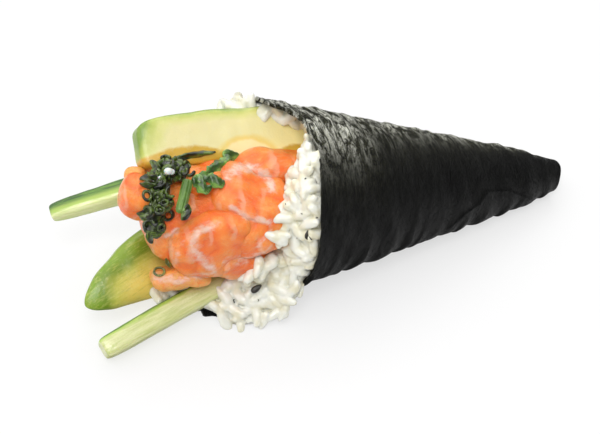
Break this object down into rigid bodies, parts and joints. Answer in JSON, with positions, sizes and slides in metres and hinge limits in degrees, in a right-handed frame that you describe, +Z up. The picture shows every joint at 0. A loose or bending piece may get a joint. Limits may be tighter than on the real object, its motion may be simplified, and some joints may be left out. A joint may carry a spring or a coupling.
{
  "type": "temaki hand roll",
  "caption": "Hand roll lying on its side: a nori cone of rice with salmon, avocado, cucumber and scallion standing out of its mouth.",
  "frame": {"origin": "centre of the bounding box's bottom, on the table under the roll", "axes": "+X along the roll towards the cone's tip, +Z up"},
  "size_m": [0.1599, 0.0562, 0.0555],
  "materials": {
    "nori": "crinkled satin sheet with a silvery sheen",
    "rice": "moist and slightly translucent",
    "salmon": "wet raw fish with pale fat lines",
    "avocado": "smooth buttery flesh, green at the skin side",
    "cucumber": "moist pale flesh with dark green skin",
    "scallion": "chopped moist green rings",
    "scallion_stalk": "moist green stalk",
    "herb": "moist green leaf"
  },
  "bodies": {
    "root": {"nori": "nori", "rice": "rice", "salmon_1": "salmon", "salmon_2": "salmon", "salmon_3": "salmon", "salmon_4": "salmon", "salmon_5": "salmon", "salmon_6": "salmon", "salmon_7": "salmon", "salmon_8": "salmon", "salmon_9": "salmon", "salmon_10": "salmon", "avocado_top": "avocado", "avocado_low": "avocado", "cucumber_far": "cucumber", "cucumber_near": "cucumber", "scallion_heap": "scallion", "scallion_stalk": "scallion_stalk", "herb_sprig": "herb"}
  },
  "joints": []
}
